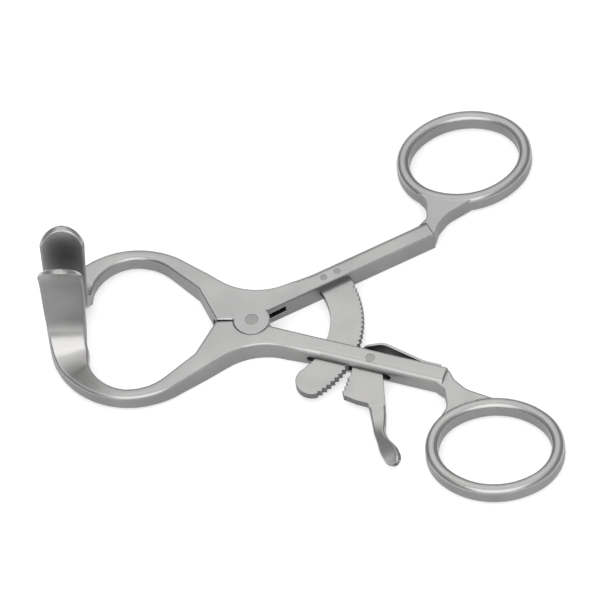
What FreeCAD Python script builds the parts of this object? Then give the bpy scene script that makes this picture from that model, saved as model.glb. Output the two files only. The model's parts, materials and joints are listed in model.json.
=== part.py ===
"""Ratchet mouth gag: two forged arms on a riveted box joint, a toothed sector and a sprung release pawl.

Units are millimetres and degrees. The origin is on the pivot axis, at the underside of the arms.
+X runs along the bisector of the two handles, towards the finger rings; +Z is the way the blades rise.
The handles lie one on each side of +X, the jaws one on each side of a line a few degrees off -X.
"""
import FreeCAD, Part
import math
import os

SIZES = {
    # Both arms
    "arm_thickness": 6.0,
    "jaw_turn": 6.0,
    "edge_radius": 0.6,
    "running_gap": 0.05,
    # Handles
    "handle_angle": 23.4,
    "handle_offset": 3.1,
    "handle_width": 5.2,
    "handle_length": 52.0,
    "handle_outer_radius": 1.9,
    # Finger rings
    "ring_run": 70.6,
    "ring_side": 16.4,
    "ring_long": 14.0,
    "ring_short": 11.6,
    "ring_bar": 3.3,
    "ring_height": 5.0,
    "ring_turn": 10.0,
    "ring_end_radius": 10.2,
    "ring_edge_radius": 1.4,
    "web_thickness": 4.4,
    # Box joint
    "disc_radius": 4.6,
    "tongue_radius": 7.0,
    "tongue_thickness": 2.0,
    "valley_radius": 16.0,
    "stop_reach": 9.0,
    "stop_half_angle": 1.6,
    "pin_radius": 1.7,
    # Jaws
    "jaw_reach": 50.6,
    "jaw_bend_radius": 20.5,
    "jaw_bend_height": 3.1,
    "jaw_slope": 35.8,
    "jaw_lug_width": 6.0,
    "jaw_shank_width": 4.2,
    "jaw_bulge_width": 3.3,
    "jaw_band_end_width": 8.4,
    "jaw_band_end_angle": 152.0,
    "jaw_edge": 0.5,
    "jaw_end_thickness": 4.0,
    "blade_root_width": 9.8,
    "blade_width": 11.4,
    "blade_thickness": 1.6,
    "blade_height": 37.5,
    "blade_gap": 8.8,
    "blade_bend_radius": 4.2,
    "blade_flare": 2.0,
    "blade_bow": 0.45,
    "blade_lean": -0.5,
    # Ratchet sector
    "sector_radius": 28.0,
    "sector_inner_radius": 19.6,
    "sector_thickness": 2.0,
    "sector_tip_angle": 65.0,
    "sector_first_tooth": 18.0,
    "sector_wall": 1.0,
    "tooth_angle": 3.0,
    "tooth_depth": 0.65,
    "tooth_gap": 0.1,
    "rivet_radius": 1.0,
    "rivet_front_run": 21.6,
    "rivet_rear_run": 25.4,
    # Slot in the lower handle, and the pawl in it
    "slot_start": 16.5,
    "slot_end": 38.5,
    "slot_gap": 0.15,
    "pawl_pin_run": 32.5,
    "pawl_pin_radius": 1.3,
    "pawl_hub_radius": 2.8,
    "pawl_tab_radius": 3.55,
    "pawl_swing": 22.0,
    "pawl_tooth_start": 39.0,
    "pawl_tooth_count": 4.0,
    "pawl_tail_length": 31.6,
    # Leaf spring
    "spring_thickness": 0.7,
    "spring_width": 4.8,
    "spring_root_run": 47.5,
    "spring_lift": 2.6,
    "spring_tip_run": 28.9,
    "screw_radius": 1.2,
    "screw_length": 3.4,
}


def make_sheet(doc):
    sheet = doc.addObject("Spreadsheet::Sheet", "sizes")
    for row, (name, value) in enumerate(SIZES.items(), start=1):
        sheet.set("A%d" % row, name)
        sheet.set("B%d" % row, str(value))
        sheet.setAlias("B%d" % row, name)
    doc.recompute()
    return sheet


DOC = FreeCAD.newDocument("mouth_gag")
SHEET = make_sheet(DOC)


def size(name):
    return float(getattr(SHEET, name))


UP = FreeCAD.Vector(0, 0, 1)
MIDDLE = size("arm_thickness") / 2
UPPER = 1
LOWER = -1


def turned(x, y, angle, centre=(0, 0)):
    """A plan point turned about a centre."""
    c = math.cos(math.radians(angle))
    s = math.sin(math.radians(angle))
    dx = x - centre[0]
    dy = y - centre[1]
    return centre[0] + c * dx - s * dy, centre[1] + s * dx + c * dy


def on_handle(run, out, side):
    """Plan point of a handle: run along its centre line, out away from the bisector."""
    x, y = turned(run, size("handle_offset") + out, size("handle_angle"))
    return x, side * y


def on_jaw(x, y, side):
    """Plan point of a jaw, from the jaws' own bisector."""
    return turned(x, side * y, -size("jaw_turn"))


def vector(point, z=0.0):
    return FreeCAD.Vector(point[0], point[1], z)


def rounded_wire(corners, z=0.0):
    """Closed wire through corners (point, radius), with a tangent arc at each radius."""
    edges = []
    count = len(corners)
    ends = []
    for i, (point, radius) in enumerate(corners):
        here = vector(point, z)
        before = (vector(corners[i - 1][0], z) - here).normalize()
        after = (vector(corners[(i + 1) % count][0], z) - here).normalize()
        half = before.getAngle(after) / 2
        if radius <= 0:
            ends.append((here, here))
            continue
        cut = radius / math.tan(half)
        start = here + before * cut
        end = here + after * cut
        middle_way = (before + after).normalize()
        middle = here + middle_way * (radius / math.sin(half) - radius)
        edges.append(Part.Arc(start, middle, end).toShape())
        ends.append((start, end))
    for i in range(count):
        a = ends[i][1]
        b = ends[(i + 1) % count][0]
        if (a - b).Length > 1e-6:
            edges.append(Part.makeLine(a, b))
    return Part.Wire(Part.__sortEdges__(edges))


def prism(corners, low, high):
    """Upright solid over a rounded plan outline."""
    return Part.Face(rounded_wire(corners, low)).extrude(UP * (high - low))


def chamfered_section(centre, across, through, width, thickness, chamfer):
    """Rectangle with cut corners, for the lofts."""
    a = width / 2
    t = thickness / 2
    c = chamfer
    points = [(a, c - t), (a, t - c), (a - c, t), (c - a, t), (-a, t - c), (-a, c - t), (c - a, -t), (a - c, -t)]
    corners = [centre + across * x + through * y for x, y in points]
    return Part.makePolygon(corners + corners[:1])


def rounded_section(centre, across, through, width, thickness, far_radius, near_radius):
    """Rectangle with round corners; the far radius is on the side that across points to."""
    a = width / 2
    t = thickness / 2
    edges = []
    last = None
    corners = ((1, 1, far_radius), (-1, 1, near_radius), (-1, -1, near_radius), (1, -1, far_radius))
    for sx, sy, r in corners:
        half = r * (1 - math.sqrt(0.5))
        arc = [(sx * a, sy * (t - r)), (sx * (a - half), sy * (t - half)), (sx * (a - r), sy * t)]
        if sx * sy < 0:
            arc.reverse()
        arc = [centre + across * x + through * y for x, y in arc]
        if last:
            edges.append(Part.makeLine(last, arc[0]))
        edges.append(Part.Arc(*arc).toShape())
        last = arc[2]
    edges.append(Part.makeLine(last, edges[0].Vertexes[0].Point))
    return Part.Wire(edges)


def fillet_level_edges(solid, radius):
    """Rounds the edges that lie level, round the top and bottom of a prism."""
    box = solid.BoundBox
    level = [e for e in solid.Edges
             if e.BoundBox.ZLength < 1e-6 and min(abs(e.BoundBox.ZMin - box.ZMin), abs(e.BoundBox.ZMin - box.ZMax)) < 1e-6]
    return solid.makeFillet(radius, level)


def cylinder(radius, low, high, point=(0, 0)):
    return Part.makeCylinder(radius, high - low, vector(point, low), UP)


def lug(side):
    """Middle of an arm: from the handle over the pivot to the start of the jaw."""
    half = size("handle_width") / 2
    stop = size("stop_reach")
    lift = stop * math.tan(math.radians(size("stop_half_angle")))
    slope = math.radians(size("jaw_slope"))
    start = jaw_tangent_point()
    run = 9.0
    outer_end = (start[0] + run * math.cos(slope), start[1] - run * math.sin(slope))
    inner_end = (outer_end[0] - jaw_width_on_line(run) * math.sin(slope),
                 outer_end[1] - jaw_width_on_line(run) * math.cos(slope))
    far = 40.0
    line_far = (start[0] + far * math.cos(slope), start[1] - far * math.sin(slope))
    valley = crossing(on_jaw(*outer_end, side), on_jaw(*line_far, side),
                      on_handle(0, half, side), on_handle(far, half, side))
    corners = [
        (on_handle(16.0, half, side), 0),
        (on_handle(16.0, -half, side), 0),
        (on_handle(3.5, -half, side), 0),
        ((0, 0), 0),
        (on_jaw(-stop, lift, side), 0),
        (on_jaw(*inner_end, side), 0),
        (on_jaw(*outer_end, side), 0),
        (valley, size("valley_radius")),
    ]
    return prism(corners, 0, size("arm_thickness"))


def crossing(a, b, c, d):
    """Point where the line through a and b meets the line through c and d."""
    rx, ry = b[0] - a[0], b[1] - a[1]
    sx, sy = d[0] - c[0], d[1] - c[1]
    t = ((c[0] - a[0]) * sy - (c[1] - a[1]) * sx) / (rx * sy - ry * sx)
    return a[0] + t * rx, a[1] + t * ry


def jaw_centre():
    """Centre of the jaw's outer bend."""
    return -size("jaw_reach") + size("jaw_bend_radius"), size("jaw_bend_height")


def jaw_tangent_point():
    """Where the straight part of the jaw's outer edge runs into the bend."""
    x, y = jaw_centre()
    angle = math.radians(90 - size("jaw_slope"))
    return x + size("jaw_bend_radius") * math.cos(angle), y + size("jaw_bend_radius") * math.sin(angle)


def jaw_width_on_line(run):
    """Width of the jaw's straight part, run millimetres from the bend towards the lug."""
    shank = size("jaw_shank_width")
    return shank + (size("jaw_lug_width") - shank) * run / 16.0


def jaw_width_in_bend(share):
    """Width round the bend: narrowest at the bulge, then widening into the blade's root."""
    bulge = size("jaw_bulge_width")
    narrow = 0.38
    if share < narrow:
        return bulge + (size("jaw_shank_width") - bulge) * (1 - share / narrow) ** 2
    return bulge + (size("jaw_band_end_width") - bulge) * ((share - narrow) / (1 - narrow)) ** 1.5


def jaw_section(x, y, z, angle, pitch, width, thickness):
    """Section of the jaw band: angle is where its outer edge points, pitch how far it is bent up."""
    a = math.radians(angle)
    p = math.radians(pitch)
    across = FreeCAD.Vector(math.cos(a), math.sin(a), 0)
    along = FreeCAD.Vector(-math.sin(a), math.cos(a), 0)
    through = along * -math.sin(p) + UP * math.cos(p)
    return chamfered_section(FreeCAD.Vector(x, y, z), across, through, width, thickness, size("jaw_edge"))


def jaw_band_sections():
    """From the lug, straight and then round the bend, to where the blade's root starts."""
    thick = size("arm_thickness")
    slope = math.radians(size("jaw_slope"))
    start = jaw_tangent_point()
    cx, cy = jaw_centre()
    first = 90 - size("jaw_slope")
    sections = []
    for run, thickness in ((14.0, thick), (9.3, thick), (4.6, thick - 0.4)):
        width = jaw_width_on_line(run)
        x = start[0] + run * math.cos(slope) - width / 2 * math.sin(slope)
        y = start[1] - run * math.sin(slope) - width / 2 * math.cos(slope)
        sections.append(jaw_section(x, y, MIDDLE, first, 0, width, thickness))
    steps = 7
    for i in range(steps + 1):
        share = i / steps
        angle = first + (size("jaw_band_end_angle") - first) * share
        width = jaw_width_in_bend(share)
        thickness = thick - 0.8 + (size("jaw_end_thickness") - thick + 0.8) * share
        reach = size("jaw_bend_radius") - width / 2
        x = cx + reach * math.cos(math.radians(angle))
        y = cy + reach * math.sin(math.radians(angle))
        sections.append(jaw_section(x, y, MIDDLE, angle, 0, width, thickness))
    return sections


def blade_root_x():
    return -size("jaw_reach") + size("blade_root_width") / 2


def blade_plane():
    return size("blade_gap") / 2 + size("blade_thickness") / 2


def blade_bend_sections():
    """Bend from the level band into the upright blade."""
    thin = size("jaw_end_thickness")
    blade = size("blade_thickness")
    radius = size("blade_bend_radius")
    sections = [jaw_band_sections()[-1]]
    steps = 6
    for i in range(1, steps + 1):
        share = i / steps
        pitch = 90 * share
        p = math.radians(pitch)
        thickness = thin + (blade - thin) * share ** 0.6
        inner = radius - thickness / 2 + blade / 2
        y = blade_plane() + radius - inner * math.sin(p)
        z = MIDDLE - thin / 2 + blade / 2 + radius - inner * math.cos(p)
        width = size("jaw_band_end_width") + (size("blade_root_width") - size("jaw_band_end_width")) * share
        angle = 180 - (180 - size("jaw_band_end_angle")) * (1 - share) ** 2
        x = blade_root_x() + 0.9 * (1 - share) ** 2
        sections.append(jaw_section(x, y, z, angle, pitch, width, thickness))
    return sections


def blade_sections():
    """Upright blade: it widens, bows a little towards the other one and flares at its end."""
    bottom = MIDDLE - size("jaw_end_thickness") / 2 + size("blade_thickness") / 2 + size("blade_bend_radius")
    top = size("blade_height")
    sections = [blade_bend_sections()[-1]]
    steps = 6
    for i in range(1, steps + 1):
        share = i / steps
        swell = min(1.0, share / 0.8)
        width = size("blade_root_width") + (size("blade_width") - size("blade_root_width")) * swell ** 1.5
        bow = size("blade_flare") * share ** 2 - size("blade_bow") * 4 * share * (1 - share)
        x = blade_root_x() - size("blade_lean") * share
        z = bottom + (top - bottom) * share
        sections.append(jaw_section(x, blade_plane() + bow, z, 180, 90, width, size("blade_thickness")))
    return sections


def blade_end_outline():
    """What is kept of the blade, seen from its flat side: all of it, with a round end."""
    top = size("blade_height")
    reach = size("blade_width") / 2
    middle = blade_root_x() - size("blade_lean")
    waist = top - 2 * reach
    far = 60.0
    corners = [((middle - far, -1), 0), ((middle + far, -1), 0), ((middle + far, waist), 0),
               ((middle + reach, waist), 0), ((middle + reach, top), reach - 0.01),
               ((middle - reach, top), reach - 0.01), ((middle - reach, waist), 0), ((middle - far, waist), 0)]
    keep = Part.Face(rounded_wire(corners)).extrude(UP * far)
    keep.rotate(FreeCAD.Vector(0, 0, 0), FreeCAD.Vector(1, 0, 0), 90)
    keep.translate(FreeCAD.Vector(0, far, 0))
    return keep


def jaw(side):
    """Jaw band, bent up into the blade that goes behind the teeth."""
    stretches = [Part.makeLoft(sections, True, False, False, 3)
                 for sections in (jaw_band_sections(), blade_bend_sections(), blade_sections())]
    solid = stretches[0].fuse(stretches[1:]).common(blade_end_outline())
    if side == LOWER:
        solid = solid.mirror(FreeCAD.Vector(0, 0, 0), FreeCAD.Vector(0, 1, 0))
    solid.rotate(FreeCAD.Vector(0, 0, 0), UP, -size("jaw_turn"))
    return solid


def handle(side):
    """Handle bar, square at the lug and rounded on its outer side beyond it."""
    angle = math.radians(size("handle_angle"))
    across = FreeCAD.Vector(-math.sin(angle), side * math.cos(angle), 0)
    wires = []
    for run, outer in ((11.0, size("edge_radius")), (20.0, size("handle_outer_radius")),
                       (size("handle_length"), size("handle_outer_radius"))):
        middle = vector(on_handle(run, 0, side), MIDDLE)
        wires.append(rounded_section(middle, across, UP, size("handle_width"), size("arm_thickness"), outer,
                                     size("edge_radius")))
    return Part.makeLoft(wires, True, True)


def oval(grow):
    """Four tangent arcs round the ring's opening, grown outwards by a width."""
    long = size("ring_long")
    short = size("ring_short")
    end = size("ring_end_radius")
    shift = long - end
    flank = (shift ** 2 + short ** 2 - end ** 2) / (2 * (short - end))
    drop = flank - short
    reach = math.hypot(shift, drop)
    joint = (shift + (end + grow) * shift / reach, (end + grow) * drop / reach)
    tip = (long + grow, 0)
    crown = (0, short + grow)
    edges = []
    for a, b, c in (
        ((joint[0], -joint[1]), tip, joint),
        (joint, crown, (-joint[0], joint[1])),
        ((-joint[0], joint[1]), (-tip[0], 0), (-joint[0], -joint[1])),
        ((-joint[0], -joint[1]), (0, -crown[1]), (joint[0], -joint[1])),
    ):
        edges.append(Part.Arc(vector(a), vector(b), vector(c)).toShape())
    return Part.Wire(edges)


def ring(side):
    """Oval finger ring with rounded edges."""
    height = size("ring_height")
    outside = Part.Face(oval(size("ring_bar"))).extrude(UP * height)
    inside = Part.Face(oval(0)).extrude(UP * height)
    solid = fillet_level_edges(outside.cut(inside), size("ring_edge_radius"))
    solid.rotate(FreeCAD.Vector(0, 0, 0), UP, side * size("ring_turn"))
    solid.translate(vector(on_handle(size("ring_run"), size("ring_side"), side), MIDDLE - height / 2))
    return solid


def web(side):
    """Flat web that carries the ring on the end of the handle."""
    half = size("web_thickness") / 2
    # Run along the handle, distance out from its middle line, and corner radius
    outline = [(46.0, -2.2, 0.5), (52.4, -2.2, 1.5), (54.6, 0.2, 3.0), (58.4, 2.2, 6.0), (66.0, 3.0, 0.5),
               (66.0, 4.4, 0.5), (60.4, 6.6, 3.0), (57.0, 11.0, 2.0), (56.0, 15.0, 0.5), (54.6, 14.6, 0.3),
               (55.6, 8.6, 4.0), (53.0, 3.4, 1.0), (50.0, 2.2, 0.5)]
    corners = [(on_handle(run, out, side), radius) for run, out, radius in outline]
    return prism(corners, MIDDLE - half, MIDDLE + half)


def arm_blank(side):
    body = fillet_level_edges(lug(side), size("edge_radius"))
    return body.fuse([jaw(side), handle(side), web(side), ring(side)])


def sector_root(side, gap):
    """Ring segment that fills the upper handle's pocket, up to the wall left on its outer side."""
    half = size("sector_thickness") / 2
    ring_part = cylinder(size("sector_radius"), MIDDLE - half, MIDDLE + half).cut(
        cylinder(size("sector_inner_radius"), MIDDLE - half, MIDDLE + half))
    out = size("handle_width") / 2 - size("sector_wall")
    keep = [(on_handle(5, -6, side), 0), (on_handle(40, -6, side), 0), (on_handle(40, out, side), 0),
            (on_handle(5, out, side), 0)]
    return ring_part.common(prism(keep, 0, size("arm_thickness")))


def upper_arm():
    """Forked arm: two cheek discs over the lower arm's tongue."""
    thick = size("arm_thickness")
    gap = size("running_gap")
    slot_half = size("tongue_thickness") / 2 + gap
    shape = arm_blank(UPPER).fuse(cylinder(size("disc_radius"), 0, thick))
    shape = shape.cut(cylinder(size("tongue_radius") + 0.2, MIDDLE - slot_half, MIDDLE + slot_half))
    shape = shape.cut(cylinder(size("pin_radius") + gap, 0, thick))
    shape = shape.cut(sector_root(UPPER, 0))
    for run in (size("rivet_front_run"), size("rivet_rear_run")):
        shape = shape.cut(cylinder(size("rivet_radius"), 0, thick, on_handle(run, -0.6, UPPER)))
    return shape


def lower_arm():
    """Arm with the centre tongue, recessed round the pivot for the cheek discs."""
    thick = size("arm_thickness")
    gap = size("running_gap")
    half = size("tongue_thickness") / 2
    recess = size("disc_radius") + 2 * gap
    shape = arm_blank(LOWER)
    shape = shape.cut(cylinder(recess, -1, MIDDLE - half)).cut(cylinder(recess, MIDDLE + half, thick + 1))
    shape = shape.fuse(cylinder(size("tongue_radius"), MIDDLE - half, MIDDLE + half))
    shape = shape.cut(cylinder(size("pin_radius"), 0, thick))
    shape = shape.cut(handle_slot())
    shape = shape.cut(cylinder(size("pawl_pin_radius"), 0, thick, on_handle(size("pawl_pin_run"), 0, LOWER)))
    return shape.cut(screw_shape())


def handle_slot():
    """Slot through the lower handle, with round ends, for the sector and the pawl."""
    half = size("sector_thickness") / 2 + size("slot_gap")
    first = size("slot_start") + half
    last = size("slot_end") - half
    depth = 2 * size("handle_width")
    box = Part.makeBox(last - first, depth, 2 * half, FreeCAD.Vector(first, -depth / 2, -half))
    ends = [Part.makeCylinder(half, depth, FreeCAD.Vector(x, -depth / 2, 0), FreeCAD.Vector(0, 1, 0))
            for x in (first, last)]
    slot = box.fuse(ends)
    slot.translate(FreeCAD.Vector(0, -size("handle_offset"), MIDDLE))
    slot.rotate(FreeCAD.Vector(0, 0, 0), UP, -size("handle_angle"))
    return slot


def sector_tooth(centre_angle, gap, depth_gap):
    """V in plan, pointing at the pivot, that a tooth fills or a notch leaves."""
    outer = size("sector_radius")
    half = size("tooth_angle") / 2
    over = 0.6
    depth = size("tooth_depth")
    pitch = outer * math.radians(size("tooth_angle"))
    wide = pitch / 2 - gap
    points = [turned(outer - depth + depth_gap, 0, centre_angle),
              turned(outer + over, -wide * (depth + over) / depth, centre_angle),
              turned(outer + over, wide * (depth + over) / depth, centre_angle)]
    return points


def sector():
    """Toothed sector, concentric with the pivot and let into the upper handle."""
    half = size("sector_thickness") / 2
    outer = size("sector_radius")
    inner = size("sector_inner_radius")
    tip = size("sector_tip_angle")
    plate = cylinder(outer, MIDDLE - half, MIDDLE + half).cut(cylinder(inner, MIDDLE - half, MIDDLE + half))
    out = size("handle_width") / 2 - size("sector_wall")
    far = 60.0
    wedge = [((0, 0), 0), (turned(far, 0, -tip), 0), (turned(2 * far, 0, -10), 0),
             (on_handle(far, out, UPPER), 0), (on_handle(5.0, out, UPPER), 0)]
    plate = plate.common(prism(wedge, 0, size("arm_thickness")))
    return plate


def sector_shape():
    """The sector with its round tip, teeth and rivet holes."""
    half = size("sector_thickness") / 2
    plate = sector()
    tip = (size("sector_radius") - size("sector_inner_radius")) / 2 - 0.1
    corners = [e for e in plate.Edges if e.BoundBox.ZLength > size("sector_thickness") / 2
               and math.degrees(math.atan2(e.CenterOfMass.y, e.CenterOfMass.x)) < 5 - size("sector_tip_angle")]
    plate = plate.makeFillet(tip, corners)
    count = int((size("sector_first_tooth") + size("sector_tip_angle") - 7.5) / size("tooth_angle")) + 1
    cuts = []
    for i in range(count):
        angle = size("sector_first_tooth") - i * size("tooth_angle")
        points = sector_tooth(angle, 0.02, 0)
        cuts.append(prism([(p, 0) for p in points], MIDDLE - half - 1, MIDDLE + half + 1))
    plate = plate.cut(cuts)
    for run in (size("rivet_front_run"), size("rivet_rear_run")):
        plate = plate.cut(cylinder(size("rivet_radius"), 0, size("arm_thickness"), on_handle(run, -0.6, UPPER)))
    return plate


def pawl_shape():
    """Release pawl at rest, swung clear of the sector; the tail leaves the handle and ends in a finger tab."""
    half = size("sector_thickness") / 2
    pin = on_handle(size("pawl_pin_run"), 0, LOWER)
    low = MIDDLE - half
    high = MIDDLE + half
    swing = size("pawl_swing")
    outline = [((-1.2, 2.4), 0.5), ((-2.9, 0.4), 1.0), ((-6.6, -1.2), 0.3), ((-9.0, -8.4), 0.6), ((-4.6, -11.2), 1.2),
               ((-1.6, -12.6), 1.0), ((-1.5, -15.0), 0), ((2.6, -15.0), 0), ((2.7, -1.0), 0.5)]
    body = prism([((pin[0] + x, pin[1] + y), r) for (x, y), r in outline], low, high)
    body = body.fuse(cylinder(size("pawl_hub_radius"), low, high, pin))
    tab = cylinder(size("pawl_tab_radius"), low, high, pin)
    wedge = [(pin, 0), ((pin[0] + 4.6, pin[1] + 2.4), 0), ((pin[0] + 1.0, pin[1] + 6.0), 0)]
    body = body.fuse(tab.common(prism(wedge, low, high)))
    # The pivot, as the pawl sees it when it is swung into the teeth
    centre = turned(0, 0, swing, pin)
    body = body.cut(cylinder(size("sector_radius") + size("tooth_gap"), low - 1, high + 1, centre))
    teeth = []
    for i in range(int(size("pawl_tooth_count"))):
        angle = -size("pawl_tooth_start") - i * size("tooth_angle")
        points = sector_tooth(angle, size("tooth_gap"), size("tooth_gap"))
        teeth.append(prism([(turned(p[0], p[1], swing, pin), 0) for p in points], low, high))
    body = body.fuse(teeth)
    return body.fuse(pawl_tail(pin))


def pawl_tail(pin):
    """Tail of the pawl: it narrows, twists and widens into the finger tab."""
    # Distance down from the pin, sideways shift, width, thickness and twist of each section
    sections = ((14.0, 0.55, 4.1, 2.0, 0), (18.0, 0.55, 3.7, 2.0, 0), (22.3, 0.1, 2.9, 2.0, 6), (24.6, 0.9, 3.2, 2.0, 18),
                (27.2, 2.2, 4.5, 1.8, 34), (29.7, 3.2, 4.5, 1.6, 46), (size("pawl_tail_length"), 3.7, 3.1, 1.3, 52))
    wires = []
    for down, shift, width, thickness, twist in sections:
        t = math.radians(twist)
        across = FreeCAD.Vector(math.cos(t), 0, math.sin(t))
        through = FreeCAD.Vector(-math.sin(t), 0, math.cos(t))
        middle = FreeCAD.Vector(pin[0] + shift, pin[1] - down, MIDDLE)
        wires.append(chamfered_section(middle, across, through, width, thickness, 0.35))
    return Part.makeLoft(wires, True, False, False, 3)


def pawl_part():
    """The pawl with the running hole for its pin."""
    pin = on_handle(size("pawl_pin_run"), 0, LOWER)
    hole = cylinder(size("pawl_pin_radius") + size("running_gap"), 0, size("arm_thickness"), pin)
    return pawl_shape().cut(hole)


def spring_shape():
    """Leaf spring along the inner face of the lower handle, its round free end over the pawl's tab."""
    face = -size("handle_width") / 2
    t = size("spring_thickness")
    half = size("spring_width") / 2
    high = face - size("spring_lift") - t / 2
    # Run along the handle, distance out, and bend radius, along the leaf's lower side
    lower = [(50.0, face, 0), (45.5, face, 8.0), (34.0, high + t / 2, 4.0), (size("spring_tip_run"), face - 0.05, 0)]
    upper = [(run, out - t, radius) for run, out, radius in reversed(lower)]
    corners = [(on_handle(run, out, LOWER), radius) for run, out, radius in lower + upper]
    leaf = prism(corners, MIDDLE - half, MIDDLE + half)
    start = size("spring_tip_run") + half
    depth = 4 * size("handle_width")
    keep = Part.makeBox(30, depth, 2 * half, FreeCAD.Vector(start, -depth / 2, -half))
    keep = keep.fuse(Part.makeCylinder(half, depth, FreeCAD.Vector(start, -depth / 2, 0), FreeCAD.Vector(0, 1, 0)))
    keep.translate(FreeCAD.Vector(0, 0, MIDDLE))
    keep.rotate(FreeCAD.Vector(0, 0, 0), UP, -size("handle_angle"))
    return leaf.common(keep).cut(screw_shape())


def screw_shape():
    """Flush screw that holds the spring's root, square to the handle's inner face."""
    angle = -math.radians(size("handle_angle"))
    face = -size("handle_width") / 2 - size("spring_thickness")
    start = on_handle(size("spring_root_run"), face, LOWER)
    way = FreeCAD.Vector(math.sin(angle), -math.cos(angle), 0)
    return Part.makeCylinder(size("screw_radius"), size("screw_length"), vector(start, MIDDLE), way)


def add_feature(name, shape):
    feature = DOC.addObject("Part::Feature", name)
    feature.Shape = shape
    feature.Label = name
    return feature


def add_pin(name, radius, point):
    """Straight pin, flush with both faces of the arms."""
    pin = DOC.addObject("Part::Cylinder", name)
    pin.setExpression("Radius", "sizes.%s" % radius)
    pin.setExpression("Height", "sizes.arm_thickness")
    pin.Placement = FreeCAD.Placement(vector(point), FreeCAD.Rotation())
    return pin


def build():
    return [
        add_feature("upper_arm", upper_arm()),
        add_feature("lower_arm", lower_arm()),
        add_feature("ratchet_sector", sector_shape()),
        add_feature("pawl", pawl_part()),
        add_feature("pawl_spring", spring_shape()),
        add_feature("spring_screw", screw_shape()),
        add_pin("pivot_pin", "pin_radius", (0, 0)),
        add_pin("pawl_pin", "pawl_pin_radius", on_handle(size("pawl_pin_run"), 0, LOWER)),
        add_pin("sector_rivet_front", "rivet_radius", on_handle(size("rivet_front_run"), -0.6, UPPER)),
        add_pin("sector_rivet_rear", "rivet_radius", on_handle(size("rivet_rear_run"), -0.6, UPPER)),
    ]


def export(parts):
    DOC.recompute()
    for item in DOC.Objects:
        if "Invalid" in item.State or "Error" in item.State:
            raise RuntimeError("%s failed" % item.Label)
    os.makedirs("parts", exist_ok=True)
    for part in parts:
        shape = part.Shape
        if shape.isNull() or not shape.isValid() or len(shape.Solids) != 1:
            raise RuntimeError("%s has a bad shape: valid %s, %d solids" % (part.Label, shape.isValid(), len(shape.Solids)))
        shape.exportStep("parts/%s.step" % part.Name)
        print("%s %.2f mm3" % (part.Name, shape.Volume))


export(build())
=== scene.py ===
"""Finished look of the mouth gag: forged jaws and pawl tail, satin steel, low pin heads and studio."""

import json
import math

import bmesh
import bpy
from mathutils import Matrix, Vector


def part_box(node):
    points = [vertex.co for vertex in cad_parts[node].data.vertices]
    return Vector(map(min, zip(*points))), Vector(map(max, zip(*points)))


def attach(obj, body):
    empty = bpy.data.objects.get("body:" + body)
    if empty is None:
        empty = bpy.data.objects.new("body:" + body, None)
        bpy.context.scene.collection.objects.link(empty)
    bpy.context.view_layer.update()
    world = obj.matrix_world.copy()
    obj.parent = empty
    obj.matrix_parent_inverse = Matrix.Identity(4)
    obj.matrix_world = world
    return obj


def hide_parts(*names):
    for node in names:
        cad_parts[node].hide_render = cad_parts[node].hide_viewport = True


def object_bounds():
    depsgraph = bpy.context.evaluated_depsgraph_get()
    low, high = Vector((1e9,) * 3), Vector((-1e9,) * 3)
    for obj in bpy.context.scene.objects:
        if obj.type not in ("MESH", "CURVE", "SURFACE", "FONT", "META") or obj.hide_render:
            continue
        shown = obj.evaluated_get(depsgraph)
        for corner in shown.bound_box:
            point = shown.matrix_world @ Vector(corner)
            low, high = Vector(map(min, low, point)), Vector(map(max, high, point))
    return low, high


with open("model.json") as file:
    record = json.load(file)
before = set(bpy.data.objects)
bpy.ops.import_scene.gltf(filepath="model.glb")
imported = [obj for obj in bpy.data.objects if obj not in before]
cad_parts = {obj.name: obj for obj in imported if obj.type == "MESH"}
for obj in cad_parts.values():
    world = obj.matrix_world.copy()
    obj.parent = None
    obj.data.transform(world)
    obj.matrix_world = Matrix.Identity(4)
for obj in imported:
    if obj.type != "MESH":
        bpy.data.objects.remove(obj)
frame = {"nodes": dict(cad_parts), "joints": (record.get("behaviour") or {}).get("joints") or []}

bl_info = {
    "name": "Mouth gag finish",
    "version": (1, 0, 0),
    "blender": (4, 5, 0),
    "location": "3D View > Sidebar > Mouth Gag",
    "description": "Gives the mouth gag its forged jaws, steel finishes, pin heads and studio",
    "category": "Object",
}

CAD_BOX = [list(corner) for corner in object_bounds()]
NODES = frame["nodes"]
JAW_TURN = 6.0  # degrees; the jaws' middle line is turned from the handles' middle line
HANDLE_TURN = 23.4  # degrees; each handle is turned from the handles' middle line
MM = 0.001  # metres

# Where the CAD's mesh is reshaped, in millimetres and degrees
ARM_THICKNESS = 6.0
HANDLE_WALL = 5.7  # outer wall of a handle, from the line that it lies along
BLOCK_EDGE, BLOCK_END = 0.6, 16.0  # the joint block's edge radius, and its end along the handle
ROUND_FROM, ROUND_TO = (11.0, 0.6), (20.0, 1.9)  # run and radius of the handle's outer edge
TONGUE_HALF = 1.4  # level faces within this of the middle belong to the joint's tongue or slot
JOINT_GAP = 0.2
EXPOSED = (-26, 170)  # where the tongue's edge is seen
NEAR = 0.05  # a vertex this close to a radius lies on it
WELD, SLIVER = 0.000001, 0.000005  # metres; vertices this close are welded, faces this small are dissolved

# Straight shank of a jaw: run from the bend and thickness, in millimetres
SHANK_STATIONS = ((9.0, 6.0), (7.0, 5.85), (4.6, 5.6), (2.3, 5.35))
EDGE_RINGS = 12  # rings over which the strap's edges grow rounder
EDGE_SHARE = 0.4  # of the strap's width, the most that an edge's radius takes
PATH_STEP = 0.5  # millimetres

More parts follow.
